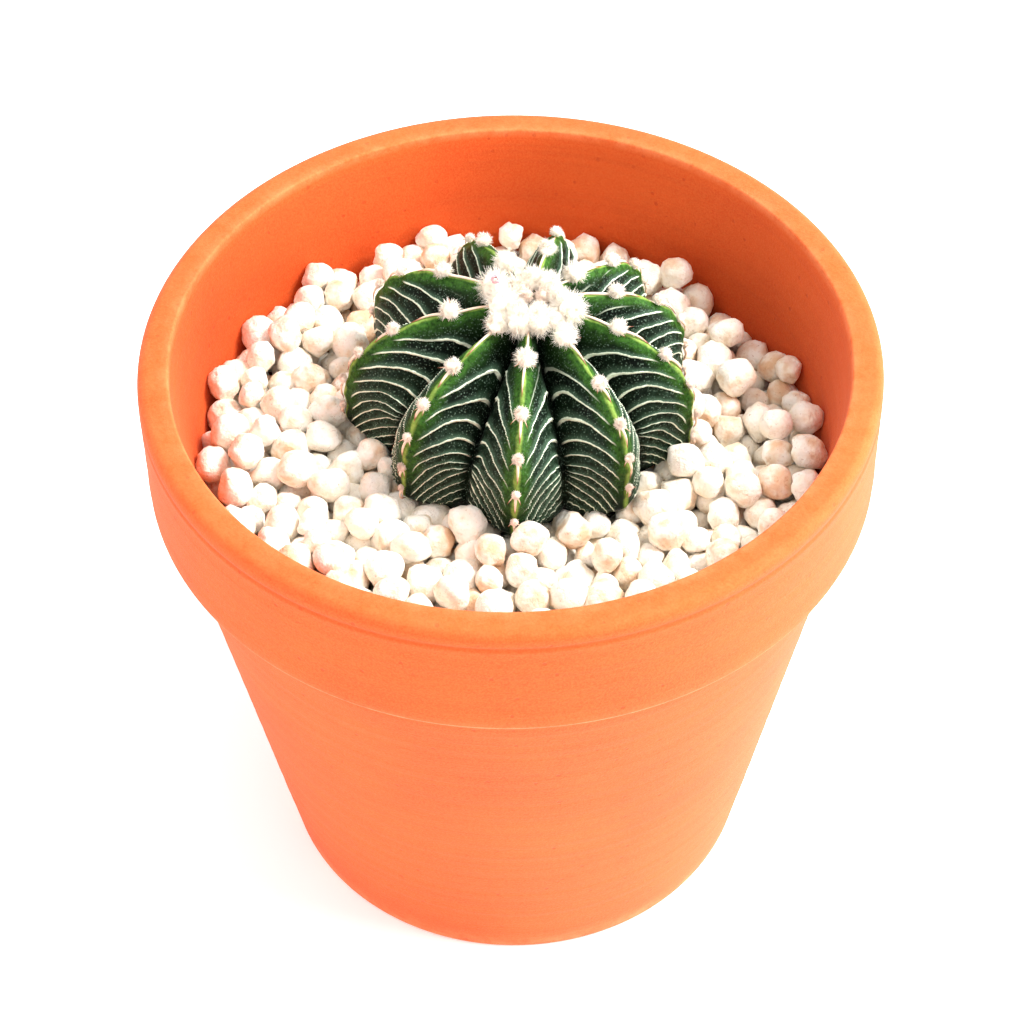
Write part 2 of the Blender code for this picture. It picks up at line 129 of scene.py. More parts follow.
def strands(paths, radii, sides):
    # closed tubes along many paths at once: paths (n, k, 3), radii (n, k)
    count, steps = radii.shape
    along = unit(np.gradient(paths, axis=1))
    helper = np.where(np.abs(along[:, :1, 2:]) > 0.9, [1.0, 0.0, 0.0], [0.0, 0.0, 1.0])
    side = unit(np.cross(along, helper))
    up = np.cross(along, side)
    turn = np.arange(sides)[:, None] * tau / sides
    ring = side[:, :, None] * np.cos(turn) + up[:, :, None] * np.sin(turn)
    points = (paths[:, :, None] + ring * radii[:, :, None, None]).reshape(-1, 3)
    first = np.arange(count)[:, None] * steps * sides
    tube = (first[:, :, None] + gridFaces(steps, sides)).reshape(-1, 4)
    lid = np.arange(sides)
    lids = np.concatenate([first + lid[::-1], first + (steps - 1) * sides + lid])
    return points, tube, lids


def joined(parts):
    # several (points, faces) shapes as one, for shapes whose faces have the same corners
    points = np.concatenate([part[0] for part in parts])
    starts = np.cumsum([0] + [len(part[0]) for part in parts[:-1]])
    faces = np.concatenate([part[1] + start for part, start in zip(parts, starts)])
    return points, faces


def node(tree, kind, settings=None, inputs=None, stops=(), feeds=None):
    # adds a node: an input takes a number, a hex colour, a socket, or a node for its first output;
    # feeds is the socket that this node's own first output goes to
    made = tree.nodes.new("ShaderNode" + kind)
    for key, value in (settings or {}).items():
        setattr(made, key, value)
    for key, value in (inputs or {}).items():
        shown = [socket for socket in made.inputs if socket.enabled and socket.name == key]
        socket = made.inputs[key] if isinstance(key, int) else shown[0]
        if isinstance(value, bpy.types.Node):
            value = [output for output in value.outputs if output.enabled][0]
        if isinstance(value, bpy.types.NodeSocket):
            tree.links.new(value, socket)
        else:
            socket.default_value = linear(value) if isinstance(value, str) else value
    for index, (position, colour) in enumerate(stops):
        ramp = made.color_ramp.elements
        stop = ramp[index] if index < len(ramp) else ramp.new(position)
        stop.position = position
        stop.color = linear(colour)
    if feeds is not None:
        tree.links.new([output for output in made.outputs if output.enabled][0], feeds)
    return made


rangeInputs = ("Value", "From Min", "From Max", "To Min", "To Max")     # of a Map Range node


def newMaterial(name, settings, *fields):
    # a material, its node tree, its shader with fixed values set, and sockets for the place of a
    # point, in metres, and for its own fields
    material = bpy.data.materials.new(name)
    material.use_nodes = True
    tree = material.node_tree
    shader = tree.nodes["Principled BSDF"]
    for socket, value in settings.items():
        shader.inputs[socket].default_value = linear(value) if isinstance(value, str) else value
    place = node(tree, "TexCoord").outputs["Object"]
    given = [node(tree, "Attribute", {"attribute_name": field}).outputs["Fac"] for field in fields]
    return material, tree, shader, place, *given


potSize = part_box("pot")[1] / mm
pot = {                       # millimetres
    "radius": potSize.x,
    "height": potSize.z,
    "collarBottom": 85.2,
    "bodyTopRadius": 56.7,
    "footRadius": 41.6,
    "mouthRadius": 54.9,
    "lipRound": 1.7,
    "mouthRound": 0.45,
    "grooveBelowLip": 3.1,
    "grooveDepth": 0.15,
    "grooveWidth": 0.42,
    "collarRound": 0.9,
    "footRound": 1.2,
    "floor": 7.5,
    "floorRound": 3.0,
    "innerFloorRadius": 37.0,
    "fillLevel": 89.5,
    "innerRadiusAtFill": 52.5,
    "drainHoleRadius": 7.0,
    "drainRound": 0.7,
    "facet": 1.2,             # length of a facet up the wall
    "columns": 320,
    "throwingLines": 0.045,   # height of the ridges that turning leaves
    "throwingSteps": (1.9, 3.1, 5.3),
    "outOfRound": 0.10,
    "lipTopPaler": 0.16,          # how much paler the lip's top is
    # painted highlight along the mouth's inner edge
    "mouthEdgeHighlight": 0.35,
    "footWear": 0.6,
    "groovePaintedShade": 0.3,       # painted shade: how dark the groove is, and the wall inside
    "insidePaintedShade": 0.22,
    "clay": "#CC4606",
    "clayBright": "#D65410",
    "clayDeep": "#B03801",
    "claySand": "#EC8844",
    "clayPale": "#EE8C58",
}


def arc(centreR, centreZ, radius, start, end, steps):
    angles = np.radians(np.linspace(start, end, steps + 1))
    return np.stack([centreR + radius * np.cos(angles), centreZ + radius * np.sin(angles)], -1)


def innerRadius(z):
    foot = pot["floor"] + pot["floorRound"]
    return np.interp(z, [foot, pot["fillLevel"], pot["height"]],
                     [pot["innerFloorRadius"], pot["innerRadiusAtFill"], pot["mouthRadius"]])


def outline(parts, facet):
    # a closed outline through the parts, with straight stretches cut into facets
    points = []
    for part, following in zip(parts, [*parts[1:], parts[0]]):
        start, end = part[-1], following[0]
        steps = max(int(math.dist(start, end) / facet), 1)
        share = np.arange(1, steps)[:, None] / steps
        points += [part, start + (end - start) * share]
    return np.concatenate(points)


def potOutline():
    # round the wall's section: lip, groove, collar, body, foot, floor, inner wall
    r, h, lip, low = pot["radius"], pot["height"], pot["lipRound"], pot["collarBottom"]
    offset = np.linspace(1.2, -1.2, 13)
    grooveR = r - pot["grooveDepth"] * np.exp(-(offset / pot["grooveWidth"]) ** 2)
    groove = np.stack([grooveR, h - pot["grooveBelowLip"] + offset], -1)
    edge, foot, drain, mouth = pot["collarRound"], pot["footRound"], pot["drainRound"], pot["mouthRound"]
    drainR = pot["drainHoleRadius"] + drain
    return outline([
        arc(r - lip, h - lip, lip, 90, 0, 9),
        groove,
        arc(r - edge, low + edge, edge, 0, -90, 6),
        np.array([(pot["bodyTopRadius"] + 0.5, low), (pot["bodyTopRadius"], low - 0.5)]),
        arc(pot["footRadius"] - foot, foot, foot, -10, -90, 6),
        arc(drainR, drain, drain, -90, -180, 4),
        arc(drainR, pot["floor"] - drain, drain, 180, 90, 4),
        arc(pot["innerFloorRadius"] - pot["floorRound"], pot["floor"] + pot["floorRound"],
            pot["floorRound"], -90, 0, 6),
        np.array([(pot["innerRadiusAtFill"], pot["fillLevel"])]),
        arc(pot["mouthRadius"] + mouth, h - mouth, mouth, 180, 90, 4),
    ], pot["facet"])


def makeTerracotta():
    # terracotta: unglazed fired earthenware, turned on a wheel. It is dull and a little chalky, with
    # turning streaks, sandy grog specks, paler skin on the lip's top and scuffed at the foot, a painted
    # highlight along the mouth's inner edge and the collar's lower edge, and painted shade in the groove
    # and inside
    material, tree, shader, place, wear, stain = newMaterial("terracotta", {
        "Roughness": 0.78, "IOR": 1.5, "Specular IOR Level": 0.30,
        "Sheen Weight": 0.05, "Sheen Roughness": 0.5}, "wear", "stain")
    clouds = node(tree, "TexNoise", inputs={
        "Vector": place, "Scale": 38.0, "Detail": 5.0, "Roughness": 0.6})    # patches of 26 mm
    turned = node(tree, "Mapping", inputs={"Vector": place, "Scale": (12.0, 12.0, 900.0)})
    streaks = node(tree, "TexNoise", inputs={
        "Vector": turned, "Scale": 1.0, "Detail": 3.0})                     # lines 1.1 mm apart
    grain = node(tree, "TexNoise", inputs={
        "Vector": place, "Scale": 2600.0, "Detail": 4.0, "Roughness": 0.7})  # sand of 0.2 to 0.4 mm
    grog = node(tree, "TexVoronoi", inputs={"Vector": place, "Scale": 420.0})    # 2.4 mm apart
    wearAndHighlightSpots = node(tree, "TexNoise", inputs={
        "Vector": place, "Scale": 240.0, "Detail": 6.0, "Roughness": 0.75})  # spots of 4 mm that break up the pale marks and the painted highlight
    cloudy, streaky, sandy, dots, chosen, spottedWearAndHighlight = [
        node(tree, "MapRange", inputs=dict(zip(rangeInputs, row))) for row in (
            (clouds, 0.25, 0.78), (streaks, 0.45, 0.75, 0.0, 0.24), (grain, 0.36, 0.64, 0.0, 0.20),
            (grog, 0.12, 0.18, 1.0, 0.0), (grog.outputs["Color"], 0.64, 0.70, 0.0, 0.5),
            (wearAndHighlightSpots, 0.38, 0.60, 0.25))]
    specks, paleWearAndHighlight = [node(tree, "Math", {"operation": "MULTIPLY"}, {0: first, 1: second})
                    for first, second in ((dots, chosen), (wear, spottedWearAndHighlight))]
    body = pot["clay"]
    # the pale mix is wear with a painted highlight; the last mix is painted shade
    for share, over in ((cloudy, "clayBright"), (streaky, "clayDeep"), (sandy, "claySand"),
                        (specks, "clayDeep"), (paleWearAndHighlight, "clayPale"), (stain, "clayDeep")):
        body = node(tree, "Mix", {"data_type": "RGBA"}, {"Factor": share, "A": body, "B": pot[over]})
    tree.links.new(body.outputs[2], shader.inputs["Base Color"])
    raised = node(tree, "Math", {"operation": "MULTIPLY_ADD"}, {0: streaks, 1: 0.9, 2: grain})
    pitted = node(tree, "Math", {"operation": "SUBTRACT"}, {0: raised, 1: specks})
    node(tree, "Bump", inputs={"Height": pitted, "Strength": 0.4, "Distance": 0.00025},
         feeds=shader.inputs["Normal"])
    return material


def buildPot(material):
    section = potOutline()
    level = section[:, 1:]
    turn = np.arange(pot["columns"]) * tau / pot["columns"]
    rng = np.random.default_rng(5)
    ridges = sum(np.sin(level * tau / size + rng.uniform(0.0, tau)) for size in pot["throwingSteps"])
    onWall = smooth(level, 8.0, 12.0) * (1.0 - smooth(level, pot["height"] - 1.2, pot["height"]))
    lean = 0.6 * np.sin(turn * 2.0 + 0.7) + 0.4 * np.sin(turn * 3.0 + 2.0) - 1.0
    r = section[:, :1] + ridges * onWall * pot["throwingLines"] / 1.7
    r = r + smooth(level, 0.0, pot["height"]) * pot["outOfRound"] * lean
    z = np.repeat(level, pot["columns"], 1)
    points = np.stack([r * np.cos(turn), r * np.sin(turn), z], -1).reshape(-1, 3)
    faces = gridFaces(len(section) + 1, pot["columns"]) % len(points)
    mesh = newMesh("terracottaPot", points, faces[:, ::-1])

    # paler on the lip's top and scuffed pale at the foot, painted highlight along the mouth's inner edge
    # and the collar's lower edge; painted shade in the groove and on the inside wall
    r, z = r.ravel(), z.ravel()
    below = z - pot["height"]
    lip = pot["lipTopPaler"] * smooth(below, -1.6, -0.2)
    # painted highlight: a pale line along the mouth's inner edge, and another along the collar's lower
    # edge
    mouth = pot["mouthEdgeHighlight"] * np.exp(-((r - pot["mouthRadius"]) / 0.5) ** 2) * (below > -0.7)
    collar = np.exp(-((z - pot["collarBottom"] - 0.35) / 0.40) ** 2) * (r > 57.8)
    foot = pot["footWear"] * (1.0 - smooth(z, 0.0, 6.0)) * (r > 38.0)
    # painted shade: darker in the groove and on the inside wall below the rim
    groove = pot["groovePaintedShade"] * np.exp(-((below + pot["grooveBelowLip"]) / 0.7) ** 2)
    insideShade = pot["insidePaintedShade"] * (1.0 - smooth(below, -3.0, -0.5))
    outside = r > pot["radius"] - 1.5
    inside = (r < innerRadius(z) + 0.3) & (z > pot["floor"] - 0.1)
    setAttributes(mesh, wear=np.clip(lip + mouth + collar + foot, 0.0, 1.0),
                  stain=groove * outside + insideShade * inside)
    addPiece(mesh, material, "terracotta", "pot")


buildPot(makeTerracotta())
print("pot turned")


stem = {                      # millimetres and degrees; heights stand on the granules' level
    "centre": (2.2, 5.3, pot["fillLevel"]),
    "radius": 28.6,
    "waistHeight": 6.0,
    "domeHeight": 17.2,
    "crestPower": 0.83,
    "furrowRadius": 21.3,
    "furrowRise": 10.8,
    "furrowPower": 2.3,
    "mergeStart": 72.0,
    "crownLean": 1.1,
    "faceBulge": 0.62,        # how far a rib's face swells by the crown, and by the waist
    "waistBulge": 0.15,
    "ribAngles": (-94.0, -55.0, -18.0, 15.5, 43.5, 77.6, 111.8, 146.0, 184.2, 224.5),
    "ribReaches": (1.01, 0.98, 1.00, 0.95, 0.96, 1.00, 1.00, 1.06, 1.04, 0.97),
    "firstTufts": (69.5, 74.5, 63.5, 62.5, 73.0, 65.0, 73.5, 61.0, 69.0, 78.7),
    "tuftStep": 23.0,
    "tuftShortening": 0.9,
    "underShares": (0.0, 0.22, 0.45, 0.62, 0.75, 0.88, 1.0),
    "underRadii": (28.6, 28.6, 22.5, 10.0, 5.5, 4.0, 0.0),
    "underHeights": (6.0, 0.0, -6.5, -10.5, -16.0, -30.0, -44.0),
    "underDepths": (1.0, 0.75, 0.40, 0.0, 0.0, 0.0, 0.0),
    "columnsPerRib": 88,
    "rowsAbove": 300,
    "rowsBelow": 40,
    "bandStep": 7.0,          # degrees between the raised bands at the waist
    "bandSpread": 0.085,      # how much wider they stand for each degree further up
    "bandSweep": 36.0,        # how far a band runs down on its way from the furrow to the crest
    "bandFall": 6.0,          # how far it drops again into the furrow
    "bandHeight": 0.26,
    "bandWidth": 0.075,       # as a share of the way to the next band
    "shingleHeight": 0.26,    # how far the skin above a band stands out over the skin below it
    "crestScallop": 0.50,     # how far the crest swells between two tufts
    "unevenness": 0.10,
    "grain": 0.035,
    "darkGreen": "#030804",
    "faceGreen": "#0C1B0D",
    "bloom": "#2E4233",
    "deepFresh": "#1A350C",
    "crownGreen": "#42702A",
    "edgeDeep": "#6B8C38",
    "edgeGreen": "#9DB45A",
    # pale zone above each band: partly denser pores, partly painted light on skin that faces up
    "bandLitSpeckle": "#4F6B55",
    "bandCream": "#EAF3D9",
    "speckle": "#728A77",
}
ribs = len(stem["ribAngles"])
stemCentre = np.array(stem["centre"])


def stemSection(angle, across, reach):
    # radius and height; across is 0 on a crest and 1 in a furrow
    up = np.radians(np.clip(angle, 0.0, 90.0))
    share = np.clip(-angle, 0.0, 90.0) / 90.0
    crestR = stem["radius"] * reach * np.cos(up) ** stem["crestPower"]
    crestZ = stem["waistHeight"] + stem["domeHeight"] * np.sin(up) ** stem["crestPower"]
    merge = smooth(angle, stem["mergeStart"], 90.0)
    furrowR = stem["furrowRadius"] * np.cos(up)
    furrowZ = stem["waistHeight"] + stem["furrowRise"] * np.sin(up) ** stem["furrowPower"]
    furrowR = furrowR + (crestR - furrowR) * merge
    furrowZ = furrowZ + (crestZ - furrowZ) * merge
    underR = np.interp(share, stem["underShares"], stem["underRadii"])
    underZ = np.interp(share, stem["underShares"], stem["underHeights"])
    depth = np.interp(share, stem["underShares"], stem["underDepths"])
    below = angle < 0.0
    crestR = np.where(below, underR * (1.0 + (reach - 1.0) * depth), crestR)
    crestZ = np.where(below, underZ, crestZ)
    furrowR = np.where(below, underR - (stem["radius"] - stem["furrowRadius"]) * depth, furrowR)
    furrowZ = np.where(below, underZ, furrowZ)
    across = np.sqrt(across * across + 0.0012) - 0.0346       # the crest is a little rounded
    bulge = stem["waistBulge"] + (stem["faceBulge"] - stem["waistBulge"]) * smooth(angle, -20.0, 60.0)
    raised = 1.0 - (1.0 - bulge) * across - bulge * across * across
    return furrowR + (crestR - furrowR) * raised, furrowZ + (crestZ - furrowZ) * raised


def ribTurn(turn):
    # turn counts ribs, with whole numbers on the crests: compass angle, way down the face, reach
    angles = np.array(stem["ribAngles"] + (stem["ribAngles"][0] + 360.0,))
    reaches = np.array(stem["ribReaches"] + stem["ribReaches"][:1])
    rib = np.floor(turn).astype(int) % ribs
    share = turn - np.floor(turn)
    azimuth = np.radians(angles[rib] + (angles[rib + 1] - angles[rib]) * share)
    reach = reaches[rib] + (reaches[rib + 1] - reaches[rib]) * share
    return azimuth, np.minimum(share, 1.0 - share) * 2.0, reach


def stemPoints(angle, turn):
    azimuth, across, reach = ribTurn(turn)
    r, z = stemSection(angle, across, reach)
    lean = stem["crownLean"] * np.maximum(z, 0.0) / (stem["waistHeight"] + stem["domeHeight"])
    return stemCentre + np.stack([r * np.cos(azimuth) + lean, r * np.sin(azimuth), z], -1)


def tuftAngles(rib, lowest):
    steps = np.arange(6)
    angles = stem["firstTufts"][rib] - stem["tuftStep"] * steps + stem["tuftShortening"] * steps ** 2
    return angles[angles > lowest]


def crestFrame(angle, rib):
    # a point of the crest, and the ways down along it, out from it and across it
    here, above, below = stemPoints(np.array([angle, angle + 1.0, angle - 1.0]),
                                    np.full(3, float(rib)))
    down = unit(below - above)
    azimuth = math.radians(stem["ribAngles"][rib])
    side = np.array([-math.sin(azimuth), math.cos(azimuth), 0.0])
    return here, down, unit(np.cross(down, side)), side


def makeSkin():
    # skin of a banded cactus: waxy and satin, near black on the faces and fresh green by the crown
    # and the crests, with raised pale bands, a pale zone above each band that is partly denser pores and
    # partly painted light, and a dusting of pale pores
    material, tree, shader, place, fresh, dust, edge, bloom, phase, strength = newMaterial("cactusSkin", {
        "Roughness": 0.50, "IOR": 1.45, "Specular IOR Level": 0.07},
        "fresh", "dust", "edge", "bloom", "bandPhase", "bandStrength")
    patches = node(tree, "TexNoise", inputs={
        "Vector": place, "Scale": 260.0, "Detail": 4.0})                      # shades of 3 to 4 mm
    cells = node(tree, "TexNoise", inputs={
        "Vector": place, "Scale": 1500.0, "Detail": 4.0, "Roughness": 0.65})  # drawn 0.6 mm coarse
    pores = node(tree, "TexVoronoi", inputs={
        "Vector": place, "Scale": 3200.0})                                    # drawn 0.3 mm apart
    patchy, celled, dots, chosen = [
        node(tree, "MapRange", inputs=dict(zip(rangeInputs, row))) for row in (
            (patches, 0.38, 0.66), (cells, 0.32, 0.70), (pores, 0.20, 0.50, 1.0, 0.0),
            (pores.outputs["Color"], 0.40, 0.90))]

    # the bands: a whole number of the phase is a band's middle, and above it fades a pale zone that is
    # partly denser pores and partly painted light
    ragged = node(tree, "Math", {"operation": "MULTIPLY_ADD"}, {0: cells, 1: 0.10, 2: phase})
    centred = node(tree, "Math", {"operation": "SUBTRACT"}, {0: ragged, 1: 0.05})
    away = node(tree, "Math", {"operation": "PINGPONG"}, {0: centred, 1: 0.5})
    above = node(tree, "Math", {"operation": "FRACT"}, {0: centred})
    litSpeckle, band = [
        node(tree, "MapRange", {"interpolation_type": "SMOOTHSTEP"}, dict(zip(rangeInputs, row)))
        for row in ((above, 0.02, 0.45, 0.55, 0.0), (away, 0.050, 0.090, 1.0, 0.0))]
    shownDots = node(tree, "Math", {"operation": "MULTIPLY"}, {0: dots, 1: chosen})
    bloomed, dusty, litSpeckleShown, banded = [
        node(tree, "Math", {"operation": "MULTIPLY"}, {0: first, 1: second})
        for first, second in ((celled, bloom), (shownDots, dust), (litSpeckle, strength), (band, strength))]
    freshSkin, edgeSkin = [
        node(tree, "Mix", {"data_type": "RGBA"}, {"Factor": celled, "A": stem[deep], "B": stem[pale]})
        for deep, pale in (("deepFresh", "crownGreen"), ("edgeDeep", "edgeGreen"))]
    skin = stem["darkGreen"]
    for share, over in ((patchy, stem["faceGreen"]), (bloomed, stem["bloom"]), (fresh, freshSkin),
                        (dusty, stem["speckle"]), (edge, edgeSkin), (litSpeckleShown, stem["bandLitSpeckle"]),
                        (banded, stem["bandCream"])):
        skin = node(tree, "Mix", {"data_type": "RGBA"}, {"Factor": share, "A": skin, "B": over})
    tree.links.new(skin.outputs[2], shader.inputs["Base Color"])
    raised = node(tree, "Math", {"operation": "MULTIPLY_ADD"}, {0: dots, 1: 0.5, 2: cells})
    node(tree, "Bump", inputs={"Height": raised, "Strength": 0.35, "Distance": 0.00012},
         feeds=shader.inputs["Normal"])
    return material


def buildStem(material):
    columns = stem["columnsPerRib"] * ribs
    rows = np.concatenate([np.linspace(89.6, -12.0, stem["rowsAbove"]),
                           np.linspace(-13.0, -89.0, stem["rowsBelow"])])
    angle, turn = np.meshgrid(rows, np.arange(columns) / stem["columnsPerRib"], indexing="ij")
    across = ribTurn(turn)[1]
    points = stemPoints(angle, turn)
    rng = np.random.default_rng(21)
    wobble = ripples(points, rng, 7.0)
    fine = ripples(points, rng, 1.8)

    # raised bands: each leaves the furrow level and bends down along the crest
    rib = np.round(turn).astype(int) % ribs
    faceShift = rng.uniform(0.0, 1.0, ribs * 2)[rib * 2 + (turn % 1.0 < 0.5)]
    bandAngle = angle + stem["bandSweep"] * (1.0 - across) ** 2
    bandAngle = bandAngle + stem["bandFall"] * across ** 4 * smooth(angle, -10.0, 30.0)
    stepThere = stem["bandStep"] + stem["bandSpread"] * np.maximum(bandAngle, -20.0)
    phase = np.log(stepThere) / stem["bandSpread"] + faceShift + 0.06 * wobble + 0.012 * fine
    margin = smooth(across, 0.13, 0.22) * (1.0 - smooth(across, 0.82, 0.96))
    strength = margin * (1.0 - smooth(bandAngle + 3.0 * wobble, 70.0, 78.0))
    away = np.abs(phase - np.round(phase))
    above = phase % 1.0
    shingle = (1.0 - above) * smooth(above, 0.0, 0.06) + 1.0 - smooth(above, 0.0, 0.06) - 0.5
    bands = stem["bandHeight"] * np.exp(-(away / stem["bandWidth"]) ** 2) + stem["shingleHeight"] * shingle
    bands = bands * strength

    # the crest swells between the tufts and dips at each of them
    scallop = np.zeros_like(angle)
    for number in range(ribs):
        nearest = np.min([np.abs(angle - tuft) for tuft in tuftAngles(number, -30.0)], axis=0)
        scallop += np.where(rib == number, np.clip(nearest / 9.0, 0.0, 1.0) - 0.45, 0.0)
    scallop *= (1.0 - smooth(across, 0.0, 0.30)) * smooth(angle, -25.0, -5.0)
    lift = bands + stem["unevenness"] * wobble + stem["grain"] * fine + stem["crestScallop"] * scallop
    lift *= 1.0 - smooth(angle, 80.0, 88.0)
    alongRow = np.roll(points, -1, 1) - np.roll(points, 1, 1)
    normal = unit(np.cross(alongRow, np.gradient(points, axis=0)))
    points = points - normal * lift[..., None]

    count = points.shape[0] * columns
    column = np.arange(columns)
    after = (column + 1) % columns
    top = np.stack([np.full(columns, count), column, after], -1)
    tip = np.stack([np.full(columns, count + 1), count - columns + after, count - columns + column], -1)
    ends = np.stack([points[0].mean(0), points[-1].mean(0)])
    mesh = newMesh("cactusStem", np.concatenate([points.reshape(-1, 3), ends]),
                   gridFaces(len(rows), columns)[:, ::-1], np.concatenate([top, tip]))
    margins = 1.0 - smooth(across + 0.04 * wobble, 0.10, 0.34)
    crown = smooth(bandAngle + 4.0 * wobble, 68.0, 88.0) * (1.0 - across) ** 1.3
    fields = {
        "bandPhase": phase,
        "bandStrength": strength,
        "fresh": np.clip(0.80 * margins + 0.60 * crown, 0.0, 1.0) * smooth(angle, -20.0, 10.0),
        "edge": 0.85 * (1.0 - smooth(across + 0.008 * fine, 0.015, 0.065)),
        "bloom": smooth(across, 0.10, 0.40) * (1.0 - smooth(across, 0.75, 0.97))
        * (1.0 - smooth(angle, 5.0, 55.0)),
        "dust": np.clip(0.75 - 0.5 * margins - 0.4 * crown, 0.1, 1.0),
    }
    setAttributes(mesh, **{name: np.append(values, [0.0, 0.0]) for name, values in fields.items()})
    addPiece(mesh, material, "cactus_skin", "cactus_stem")


buildStem(makeSkin())
print("stem grown")


granules = {                  # millimetres
    "count": 935,             # besides the loose ones on top
    "smallest": 2.05,         # radius
    "largest": 3.10,
    "fullness": 1.05,         # how far the lumps reach past the radius that they pack at
    "top": 91.0,              # the fill's highest point
    "bottom": 74.3,
    "settleSteps": 260,
    "fall": 0.30,             # how far a granule drops in a step
    "sectors": 8,
    "fineAbove": 84.5,        # granules that show are modelled finely
    "stemGap": 0.3,
    "wallGap": 0.1,
    "lobes": 8,
    "facets": 8,
    "facetCut": 0.75,         # how much of what stands past a facet is ground away
    "facetRound": 0.07,       # how softly its edge is rounded
    "lumps": ((2.4, 0.17), (1.0, 0.08)),    # size and depth
    "stainedShare": 0.26,
    "white": "#FFFAF0",
    "cream": "#F8EAD2",
    "tan": "#DDAC7E",
    # painted shade for the pin holes
    "pinholeShade": "#A8744C",
}


def stemRing(z, turns):
    # the stem's outline where it passes through the granules, at heights z: points (n, turns, 2)
    heights, radii = stem["underHeights"][::-1], stem["underRadii"][::-1]
    crestR = np.interp(z - pot["fillLevel"], heights, radii)[:, None]
    depth = np.interp(z - pot["fillLevel"], heights, stem["underDepths"][::-1])[:, None]
    azimuth, across, _ = ribTurn(turns)
    raised = (1.0 - stem["waistBulge"]) * across + stem["waistBulge"] * across ** 2
    r = crestR - (stem["radius"] - stem["furrowRadius"]) * depth * raised
    return np.stack([r * np.cos(azimuth), r * np.sin(azimuth)], -1) + stemCentre[:2]


def settleGranules(rng, looseCentres, looseRadii):
    # drops granules between the wall and the stem until they lie on each other; the loose ones stay
    count, fixed = granules["count"], len(looseRadii)
    radii = np.append(looseRadii, rng.uniform(granules["smallest"], granules["largest"], count))
    azimuth = rng.uniform(0.0, tau, count)
    reach = 50.0 * np.sqrt(rng.uniform(0.02, 1.0, count))
    height = rng.uniform(granules["bottom"] + 3.0, granules["top"] + 9.0, count)
    started = np.stack([reach * np.cos(azimuth), reach * np.sin(azimuth), height], -1)
    centres = np.concatenate([looseCentres, started])
    turns = np.arange(0.0, ribs, 0.05)
    for step in range(granules["settleSteps"]):
        if step % 10 == 0:
            apart = np.linalg.norm(centres[:, None] - centres[None], axis=-1)
            close = apart < radii[:, None] + radii[None] + 2.5
            first, second = np.nonzero(np.triu(close, 1))
        centres[fixed:, 2] -= granules["fall"] * (1.0 - step / granules["settleSteps"])
        for _ in range(3):
            away = centres[first] - centres[second]
            distance = np.maximum(np.linalg.norm(away, axis=-1), 1e-6)
            overlap = np.maximum(radii[first] + radii[second] - distance, 0.0)
            push = away * (0.5 * overlap / distance)[:, None]
            touches = np.bincount(first, overlap > 0.0, len(radii))
            touches += np.bincount(second, overlap > 0.0, len(radii))
            moved = np.stack([np.bincount(first, push[:, axis], len(radii))
                              - np.bincount(second, push[:, axis], len(radii))
                              for axis in range(3)], -1)
            centres[fixed:] += (1.6 * moved / np.maximum(touches, 1.0)[:, None])[fixed:]
        near = np.nonzero(np.linalg.norm(centres[:, :2] - stemCentre[:2], axis=-1) < 34.0)[0]
        near = near[near >= fixed]
        ring = stemRing(centres[near, 2], turns)
        fromRing = centres[near, None, :2] - ring
        nearest = np.linalg.norm(fromRing, axis=-1).argmin(-1)
        fromRing = fromRing[np.arange(len(near)), nearest]
        ringR = np.linalg.norm(ring[np.arange(len(near)), nearest] - stemCentre[:2], axis=-1)
        fromStem = centres[near, :2] - stemCentre[:2]
        stemR = np.linalg.norm(fromStem, axis=-1)
        outside = (stemR > ringR)[:, None]
        distance = np.linalg.norm(fromRing, axis=-1)[:, None]
        wanted = radii[near, None] + granules["stemGap"]
        shove = np.where(outside, unit(fromRing) * np.maximum(wanted - distance, 0.0),
                         unit(fromStem) * (wanted + distance))
        centres[near, :2] += 0.7 * shove
        r = np.linalg.norm(centres[:, :2], axis=-1)
        room = innerRadius(centres[:, 2]) - radii - granules["wallGap"]
        centres[fixed:, :2] *= np.minimum(room / np.maximum(r, 1e-6), 1.0)[fixed:, None]
        centres[fixed:, 2] = np.maximum(centres[fixed:, 2], granules["bottom"] + radii[fixed:])
    return centres, radii


def granuleShapes(rng, centres, radii, detail):
    # rounded, dimpled lumps of different outlines; also each one's stain
    ball, triangles = ballShape(detail)
    count = len(radii)
    points = ball[None] * rng.uniform(0.86, 1.12, (count, 1, 3))
    for _ in range(granules["lobes"]):
        towards = unit(rng.normal(size=(count, 1, 3)))
        facing = np.maximum((ball[None] * towards).sum(-1, keepdims=True), 0.0)
        points = points * (1.0 + rng.uniform(-0.17, 0.21, (count, 1, 1)) * facing ** 6)
    for _ in range(granules["facets"]):
        towards = unit(rng.normal(size=(count, 1, 3)))
        beyond = (points * towards).sum(-1, keepdims=True) - rng.uniform(0.74, 0.98, (count, 1, 1))
        ground = granules["facetRound"] * np.logaddexp(0.0, beyond / granules["facetRound"])
        points = points - towards * granules["facetCut"] * ground
    size = np.linalg.norm(points, axis=-1).mean(-1)
    points = points * (radii * granules["fullness"] / size)[:, None, None]
    lumps = sum(depth * ripples(points, rng, size) for size, depth in granules["lumps"])
    points = points + unit(points) * lumps[..., None] + centres[:, None]
    faces = triangles[None] + (np.arange(count) * len(ball))[:, None, None]
    stained = np.where(rng.uniform(size=count) < granules["stainedShare"],
                       rng.uniform(0.4, 1.0, count), rng.uniform(0.0, 0.25, count))
    return points.reshape(-1, 3), faces.reshape(-1, 3), np.repeat(stained, len(ball))


